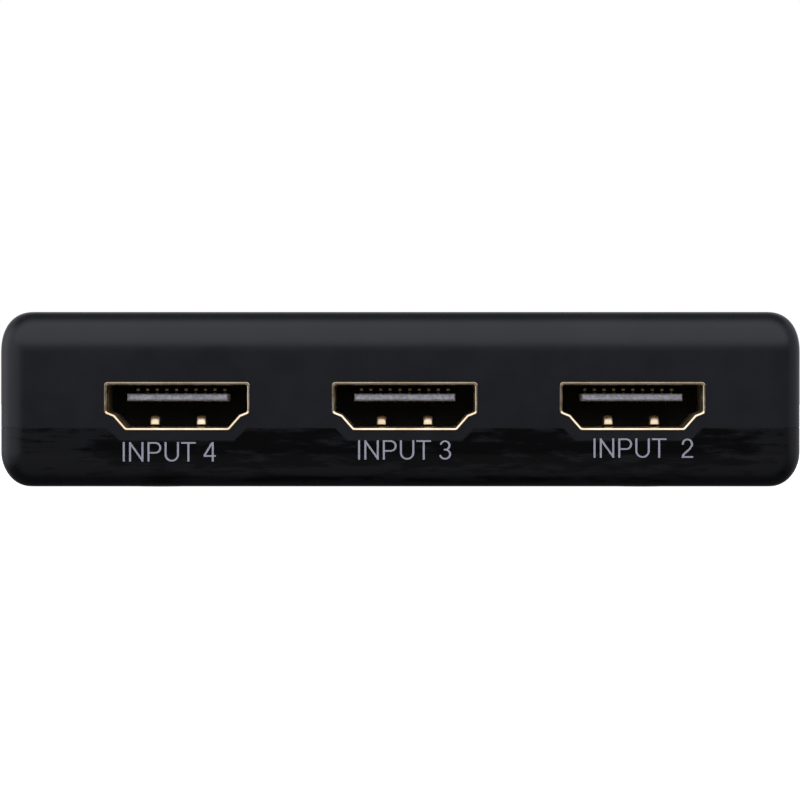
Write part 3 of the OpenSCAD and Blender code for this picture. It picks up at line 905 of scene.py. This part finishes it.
def bottom_cover():
    seam = SEAM_Z - SEAM_GAP
    levels = [(inset, BOTTOM_Z + drop) for inset, drop in reversed(quarter_levels(*BASE_ROUND))]
    rings = [plan_ring(inset, z) for inset, z in levels]
    cover = loft("bottom_cover_shell", [*rings, plan_ring(0, CRADLE_Z)])
    reach = (HALF_W + PAST, HALF_D + PAST)
    but_rear_wall = rectangle((-reach[0], -reach[1]), (reach[0], HALF_D - WALL + 0.1))
    cut(cover, prism(but_rear_wall, seam, CRADLE_Z + PAST))
    cut(cover, above_seam(seam))
    cut(cover, plan_prism(WALL, BOTTOM_Z + FLOOR_T, CRADLE_Z + PAST))
    add(cover, lip_ring(WALL / 2 + 0.05, WALL, seam - 1, SEAM_Z + 1))
    aprons = [
        prism(apron_outline(port_place(port)[0].x, 0.03), -HALF_D - 1, WALL + 0.06 - HALF_D, "y")
        for port in FRONT_PORTS
    ]
    cut(cover, *aprons)
    cut(cover, *[port_hole(port) for port in REAR_PORTS])
    board_low = cad("circuit_board")[0].z
    at_screws = [(sx * SCREW_AT[0], sy * SCREW_AT[1]) for sx, sy in FOUR_CORNERS]
    add(cover, *[prism(circle(POST_R, at), BOTTOM_Z + 1, board_low) for at in at_screws])
    cut(cover, *[prism(circle(SCREW_R + 0.2, at, 32), BOTTOM_Z + 1, board_low + 1) for at in at_screws])
    bores = [prism(circle(COUNTERBORE[0], at), BOTTOM_Z - 1, BOTTOM_Z + COUNTERBORE[1]) for at in at_screws]
    at_feet = [(sx * FOOT_AT[0], sy * FOOT_AT[1]) for sx, sy in FOUR_CORNERS]
    recesses = [prism(circle(FOOT_R + 0.1, at), -1, FOOT_T) for at in at_feet]
    cut(cover, *bores, *recesses)
    soften(cover, EDGE_W, 4, share=round_wall)
    settle(cover, LOWER, replaces=("bottom_cover",))


# ---- Sockets ----


def shell_ring(inset, y):
    outline = rounded(grown(port_outline(), -inset), SHELL_CORNER - inset / 2)
    return [(u, y, v) for u, v in outline]


def leaf_ring(here, ahead, half, thickness, crown):
    """A strip's cross-section, crowned across its width, square to its path in the YZ plane."""
    normal = Vector((-ahead.y, ahead.x))
    across = [half * math.sin(math.radians(a)) for a in range(-90, 91, 15)]
    ring = []
    for side in (1, -1):
        for x in across if side > 0 else reversed(across):
            edge = math.sqrt(max(0.0, 1 - (x / half) ** 6))
            lift = side * thickness / 2 * edge - crown * (x / half) ** 2
            point = here + normal * lift
            ring.append((x, point.x, point.y))
    return ring


def spring_leaf():
    """A retention leaf: from its root in the floor, up towards the mouth, and over its rounded tip."""
    path = smooth_path([
        (7.9, 0.16), (7.0, 0.2), (5.0, 0.8), (3.7, 1.34), (3.1, 1.42), (2.62, 1.3), (2.4, 1.0), (2.32, 0.66)
    ])
    rings = []
    for i, here in enumerate(path):
        ahead = (path[min(i + 1, len(path) - 1)] - path[max(i - 1, 0)]).normalized()
        rings.append(leaf_ring(here, -ahead, LEAF_HALF, LEAF_T, LEAF_CROWN))
    return loft("leaf", rings)


def rim_profile():
    """A shell's mouth in section, as (inset, depth).

    It is a small outer round and a wide flare that steepens inwards.
    """
    outer = [(RIM_OUT * (1 - math.sin(a)), RIM_OUT * (1 - math.cos(a))) for a in quarter_turn()[::-1]]
    first, last = (math.tan(math.radians(tilt)) for tilt in FLARE_TILT)
    insets = [FLARE_W * i / FLARE_STEPS for i in range(1, FLARE_STEPS + 1)]
    return outer + [(RIM_OUT + u, first * u + (last - first) * u * u / (2 * FLARE_W)) for u in insets]


def port_shell(port):
    rings = [shell_ring(0, SHELL_L), shell_ring(0, OUTSIDE_DEPTH)]
    rings += [shell_ring(inset, depth) for inset, depth in rim_profile()]
    rings += [shell_ring(BORE_INSET, BORE_DEPTH), shell_ring(BORE_INSET, SHELL_L)]
    shell = loft(port + "_shell_metal", rings, closed=True)
    slots = []
    for x in (-SPRING_X, SPRING_X):
        outline = rectangle((x - SLOT_HALF, SLOT_Y[0]), (x + SLOT_HALF, SLOT_Y[1]))
        slots.append(prism(outline, -0.4, 0.6))
    cut(shell, *slots)
    legs = []
    for side in (-1, 1):
        x = side * (PORT_W / 2 + 0.05)
        for y in LEG_Y:
            outline = rectangle((x - LEG_HALF[0], y - LEG_HALF[1]), (x + LEG_HALF[0], y + LEG_HALF[1]))
            legs.append(prism(outline, *LEG_Z))
    add(shell, *legs)
    for x in (-SPRING_X, SPRING_X):
        leaf = spring_leaf()
        leaf.data.transform(Matrix.Translation((x, 0, 0)))
        add(shell, leaf)
    to_port(shell, port)
    settle(shell, GOLD, replaces=(port + "_shell",))


def contact_rows():
    """Where the contacts lie across a tongue: ten on top and nine below, 1 mm apart."""
    return [(i - 4.5, 1) for i in range(10)] + [(i - 4.0, -1) for i in range(9)]


def port_tongue(port):
    low, high = TONGUE_Z
    half = TONGUE_W / 2
    nose = rectangle((0.15 - half, low + 0.17), (half - 0.15, high - 0.17))
    body = rectangle((-half, low), (half, high))
    rings = [[(u, TONGUE_TIP, v) for u, v in nose]]
    rings += [[(u, y, v) for u, v in body] for y in (TONGUE_TIP + 0.3, TONGUE_END)]
    tongue = loft(port + "_tongue_plastic", rings)
    grooves = []
    for x, side in contact_rows():
        face = high if side > 0 else low
        outline = rectangle((x - GROOVE_HALF, face - GROOVE_DEEP), (x + GROOVE_HALF, face + GROOVE_DEEP))
        grooves.append(prism(outline, TONGUE_TIP + LIP_L, TONGUE_END + 1, "y"))
    cut(tongue, *grooves)
    soften(tongue, 0.03, 2)
    to_port(tongue, port)
    settle(tongue, TONGUE, replaces=(port + "_tongue",))


def strip(path, width, thickness):
    """A flat spring strip along a path in the YZ plane, with broken edges."""
    points = [Vector(p) for p in path]
    edge = 0.03
    section = rounded(rectangle((-width / 2, -thickness / 2), (width / 2, thickness / 2))[::-1], edge, 1)
    rings = []
    for i, here in enumerate(points):
        ahead = (points[min(i + 1, len(points) - 1)] - points[max(i - 1, 0)]).normalized()
        normal = Vector((-ahead.y, ahead.x))
        rings.append([(u, *(here + normal * v)) for u, v in section])
    return loft("strip", rings)


def port_contacts(port):
    """Ten contacts above the tongue and nine below it, each bent down onto the board at the back."""
    foot = [(TAIL_Y, CONTACT_T / 2), (TAIL_END, CONTACT_T / 2)]
    tip = TONGUE_TIP + LIP_L + CONTACT_GAP
    strips = []
    for x, side in contact_rows():
        z = CONTACT_Z[0] if side > 0 else CONTACT_Z[1]
        path = [(tip, z - side * CONTACT_DIP), (TONGUE_TIP + CONTACT_FLAT, z)]
        path += [(RISER_Y, z), (RISER_Y, CREST_Z), (TAIL_Y, CREST_Z)] if side > 0 else [(TAIL_Y, z)]
        made = strip(eased([*path, *foot], CONTACT_BEND), CONTACT_W, CONTACT_T)
        made.data.transform(Matrix.Translation((x, 0, 0)))
        strips.append(made)
    contacts = joined(strips)
    contacts.name = port + "_contact_strips"
    to_port(contacts, port)
    settle(contacts, CONTACT, replaces=(port + "_contacts",))


# ---- Button, lights, feet and screws ----


def select_button():
    low, high = cad("select_button")
    flange = ROOF_Z - 0.1
    under = flange - FLANGE_T
    profile = [(0, low.z), (SHAFT_R - BREAK, low.z), (SHAFT_R, low.z + BREAK), (SHAFT_R, under)]
    profile += [(FLANGE_R - BREAK, under), (FLANGE_R, under + BREAK)]
    profile += [(FLANGE_R, flange - BREAK), (FLANGE_R - BREAK, flange), (CAP_R, flange)]
    rim = CAP_R - CAP_EDGE
    profile += arc((rim, high.z - CAP_EDGE), CAP_EDGE, 0, 90, 10)
    for i in range(1, CAP_STEPS + 1):
        left = 1 - i / CAP_STEPS
        profile.append((rim * left, high.z - CAP_DISH * (1 - left**2)))
    button = turned("select_button_cap", profile, BUTTON_AT, 96)
    settle(button, BUTTON, KEY, replaces=("select_button",))


def light_guide():
    low, high = cad("light_guide")
    bar_z = ROOF_Z - 1.9
    low_corner = (LIGHT_X[0] - BAR_END, LIGHT_Y - BAR_HALF)
    high_corner = (LIGHT_X[-1] + BAR_END, LIGHT_Y + BAR_HALF)
    outline = rounded(rectangle(low_corner, high_corner)[::-1], 0.5)
    bar = prism(outline, bar_z, bar_z + BAR_T, name="light_guide_moulding")
    dome = [(ROD_R * math.cos(a), high.z - DOME_H + DOME_H * math.sin(a)) for a in quarter_turn(8)]
    foot = [(0, low.z), (ROD_R - BREAK, low.z), (ROD_R, low.z + BREAK)]
    add(bar, *[turned("rod", foot + dome, (x, LIGHT_Y), 40) for x in LIGHT_X])
    cut(bar, *[prism(circle(0.75, (x, LIGHT_Y), 24), bar_z - 1, bar_z + 3) for x in PEG_X])
    settle(bar, CLEAR, replaces=("light_guide",))


def rubber_feet():
    edge = 0.22
    feet = []
    for sx, sy in FOUR_CORNERS:
        profile = [(0, 0), (FOOT_R - edge, 0), *arc((FOOT_R - edge, edge), edge, -90, 0, 6)[1:]]
        profile += [(FOOT_R, FOOT_T), (0, FOOT_T)]
        feet.append(turned("rubber_feet_pads", profile, (sx * FOOT_AT[0], sy * FOOT_AT[1])))
    settle(joined(feet), RUBBER, replaces=("rubber_feet",))


def screw_profile(head_z, tip_z):
    """Pan head, thread ridges 1 mm apart, and a blunt point."""
    seat = head_z + SCREW_HEAD_H
    root = SCREW_R - THREAD_D
    crown = arc((0, 0), 1, -90, 0, 8)
    profile = [(SCREW_HEAD_R * u, head_z + 0.7 * (1 + v)) for u, v in crown]
    profile += [(SCREW_HEAD_R, seat), (root, seat)]
    z = seat + 0.5
    while z < tip_z - 1.5:
        profile += [(root, z), (SCREW_R, z + 0.3), (SCREW_R, z + 0.4), (root, z + 0.7)]
        z += 1.0
    profile += [(root, tip_z - 1.0), (0.3, tip_z)]
    return profile


def cross_recess(at, z):
    """A cross-point driver's recess, tapering as it goes in."""
    arms = []
    for turn in (0, math.pi / 2):
        long, wide = 1.35, 0.32
        rings = []
        for depth, share in ((-0.3, 1.12), (1.2, 0.55)):
            corners = [(-long, -wide), (long, -wide), (long, wide), (-long, wide)]
            rings.append([(u * share, v * share, depth) for u, v in corners])
        arm = loft("arm", rings)
        arm.data.transform(Matrix.Translation((*at, z)) @ Matrix.Rotation(turn, 4, "Z"))
        arms.append(arm)
    add(arms[0], arms[1])
    return arms[0]


def cover_screws():
    low, high = cad("cover_screws")
    screws = []
    for sx, sy in FOUR_CORNERS:
        at = (sx * SCREW_AT[0], sy * SCREW_AT[1])
        screw = turned("cover_screws_steel", screw_profile(low.z, high.z), at, 48)
        cut(screw, cross_recess(at, low.z))
        screws.append(screw)
    settle(joined(screws), STEEL, replaces=("cover_screws",), sharp=30)


# ---- Printed labels ----

LETTER_H = 1.97
STRETCH = 1.015
PRINT_T = 0.02
REAR_BASE = 2.73
NUMBER_DROP = 4.6
# Text, shift from the socket's middle, and height of the baseline above the bottom face
FRONT_LABELS = {
    "input_4": ("INPUT 4", -0.77, 2.6),
    "input_3": ("INPUT 3", 0.0, 2.79),
    "input_2": ("INPUT  2", 1.09, 2.98),
}
# Widths of upright and of level strokes, in units of the capital height
THICK = 0.098
THIN = 0.08


def bowl(x, low, high, reach, steps=14):
    """A half round from (x, high) to (x, low), bulging to reach."""
    radius = (high - low) / 2
    straight = max(0.0, reach - x - radius)
    turn = arc((x + straight, low + radius), radius, 90, -90, steps)
    return [(x, high), *turn, (x, low)]


def stem(x):
    return [(x, 0), (x, 1)]


HALF_V, HALF_H = THICK / 2, THIN / 2
BASE, CAP = HALF_H, 1 - HALF_H
# Each sign is its width, its side bearings and its strokes, in units of the capital height
SIGNS = {
    "I": (0.1, (0.1, 0.1), [stem(0.05)]),
    "N": (0.73, (0.12, 0.08), [stem(HALF_V), [(HALF_V, 0.95), (0.73 - HALF_V, 0.05)], stem(0.73 - HALF_V)]),
    "P": (0.7, (0.13, 0.08), [stem(HALF_V), bowl(HALF_V, 0.45, CAP, 0.7 - HALF_V)]),
    "U": (0.73, (0.09, 0.11), [
        [(HALF_V, 1), *arc((0.365, 0.315 + BASE), 0.365 - HALF_V, 180, 360, 18), (0.73 - HALF_V, 1)],
    ]),
    "T": (0.74, (0.0, 0.0), [[(0.37, 0), (0.37, 1)], [(0, CAP), (0.74, CAP)]]),
    "O": (0.86, (0.06, 0.06), [oval((0.43, 0.5), (0.365, 0.5 - HALF_H), range(0, 361, 10))]),
    "D": (0.76, (0.1, 0.06), [stem(HALF_V), bowl(HALF_V, BASE, CAP, 0.76 - HALF_V, 22)]),
    "C": (0.8, (0.06, 0.04), [oval((0.43, 0.5), (0.365, 0.5 - HALF_H), range(40, 321, 10))]),
    "V": (0.72, (0.02, 0.02), [[(HALF_V, 1), (0.36, BASE), (0.72 - HALF_V, 1)]]),
    "1": (0.34, (0.14, 0.14), [stem(0.34 - HALF_V), [(0, 0.76), (0.16, 0.8), (0.27, 0.95)]]),
    "2": (0.58, (0.06, 0.06), [
        [
            *oval((0.285, 0.7), (0.235, 0.25), range(185, -31, -12)),
            (0.39, 0.44), (0.16, 0.24), (0.07, BASE + 0.08), (HALF_V, BASE), (0.58, BASE),
        ],
    ]),
    "3": (0.62, (0.06, 0.06), [
        [*oval((0.3, 0.735), (0.22, 0.22), range(170, -91, -10)), (0.24, 0.515)],
        oval((0.3, 0.28), (0.255, 0.235), range(90, -171, -10)),
    ]),
    "4": (0.62, (0.05, 0.05), [[(0, 0.285), (0.62, 0.285)], [(0.02, 0.28), (0.425, 0.96)], stem(0.46)]),
    "5": (0.62, (0.06, 0.06), [
        [(0.56, CAP), (0.15, CAP), (0.1, 0.5), *oval((0.3, 0.33), (0.255, 0.28), range(130, -151, -10))],
    ]),
    " ": (0.36, (0.0, 0.0), []),
}


def ribbon(path):
    """A stroke's outline: upright parts are THICK and level parts THIN."""
    points = [Vector(p) for p in path]
    left, right = [], []
    for i, here in enumerate(points):
        a = (here - points[i - 1]).normalized() if i else (points[1] - here).normalized()
        b = (points[i + 1] - here).normalized() if i + 1 < len(points) else a
        n, m = Vector((-a.y, a.x)), Vector((-b.y, b.x))
        mitre = (n + m) / max(0.35, 1 + n.dot(m))
        shift = Vector((mitre.x * HALF_V, mitre.y * HALF_H))
        left.append(tuple(here + shift))
        right.append(tuple(here - shift))
    return left + right[::-1]


def text_width(text):
    bearings = SIGNS[text[0]][1][0] + SIGNS[text[-1]][1][1]
    return sum(SIGNS[sign][0] + sum(SIGNS[sign][1]) for sign in text) - bearings


def label(name, text, matrix):
    """Text as thin solid strokes in the XY plane, centred, on its baseline, then moved by matrix."""
    pen = -text_width(text) / 2 - SIGNS[text[0]][1][0]
    whole = None
    for sign in text:
        width, bearings, strokes = SIGNS[sign]
        pen += bearings[0]
        for stroke in strokes:
            outline = [((pen + u) * LETTER_H * STRETCH, v * LETTER_H) for u, v in ribbon(stroke)]
            part = prism(outline, -PRINT_T * 2, PRINT_T, name=name)
            whole = add(whole, part) if whole else part
        pen += width + bearings[1]
    whole.data.transform(matrix)
    settle(whole, INK, sharp=25)


def upright(x, y, z, side):
    """Stands a flat label up on the front (side -1) or rear (side 1) face."""
    turn = Matrix.Rotation(math.pi if side > 0 else 0, 4, "Z")
    return Matrix.Translation((x, y, z)) @ turn @ Matrix.Rotation(math.pi / 2, 4, "X")


def labels():
    face = HALF_D
    for port, (text, shift, base) in FRONT_LABELS.items():
        x = port_place(port)[0].x + shift
        label(port + "_print", text, upright(x, -face, BOTTOM_Z + base, -1))
    rear_base = BOTTOM_Z + REAR_BASE
    label("input_1_print", "INPUT 1", upright(port_place("input_1")[0].x, face, rear_base, 1))
    label("output_print", "OUTPUT", upright(port_place("output")[0].x, face, rear_base, 1))
    label("power_print", "DC 5V", upright(JACK_AT.x, face, rear_base, 1))
    for number, x in zip("1234", LIGHT_X):
        label("light_%s_print" % number, number, Matrix.Translation((x, LIGHT_Y - NUMBER_DROP, TOP_Z)))


# ---- CAD nodes that keep their own shape ----


def finish_cad_nodes():
    for entry in frame["record"]["subparts"]:
        node = frame["nodes"][entry["node"]]
        node.data.materials.clear()
        node.data.materials.append(SLOT_MATERIALS[entry["material_slot"]])


bpy.context.scene.view_settings.view_transform = "Standard"
camera()
floor()
studio_light()
finish_cad_nodes()
top_cover()
bottom_cover()
for port in PORTS:
    port_shell(port)
    port_tongue(port)
    port_contacts(port)
select_button()
light_guide()
rubber_feet()
cover_screws()
labels()
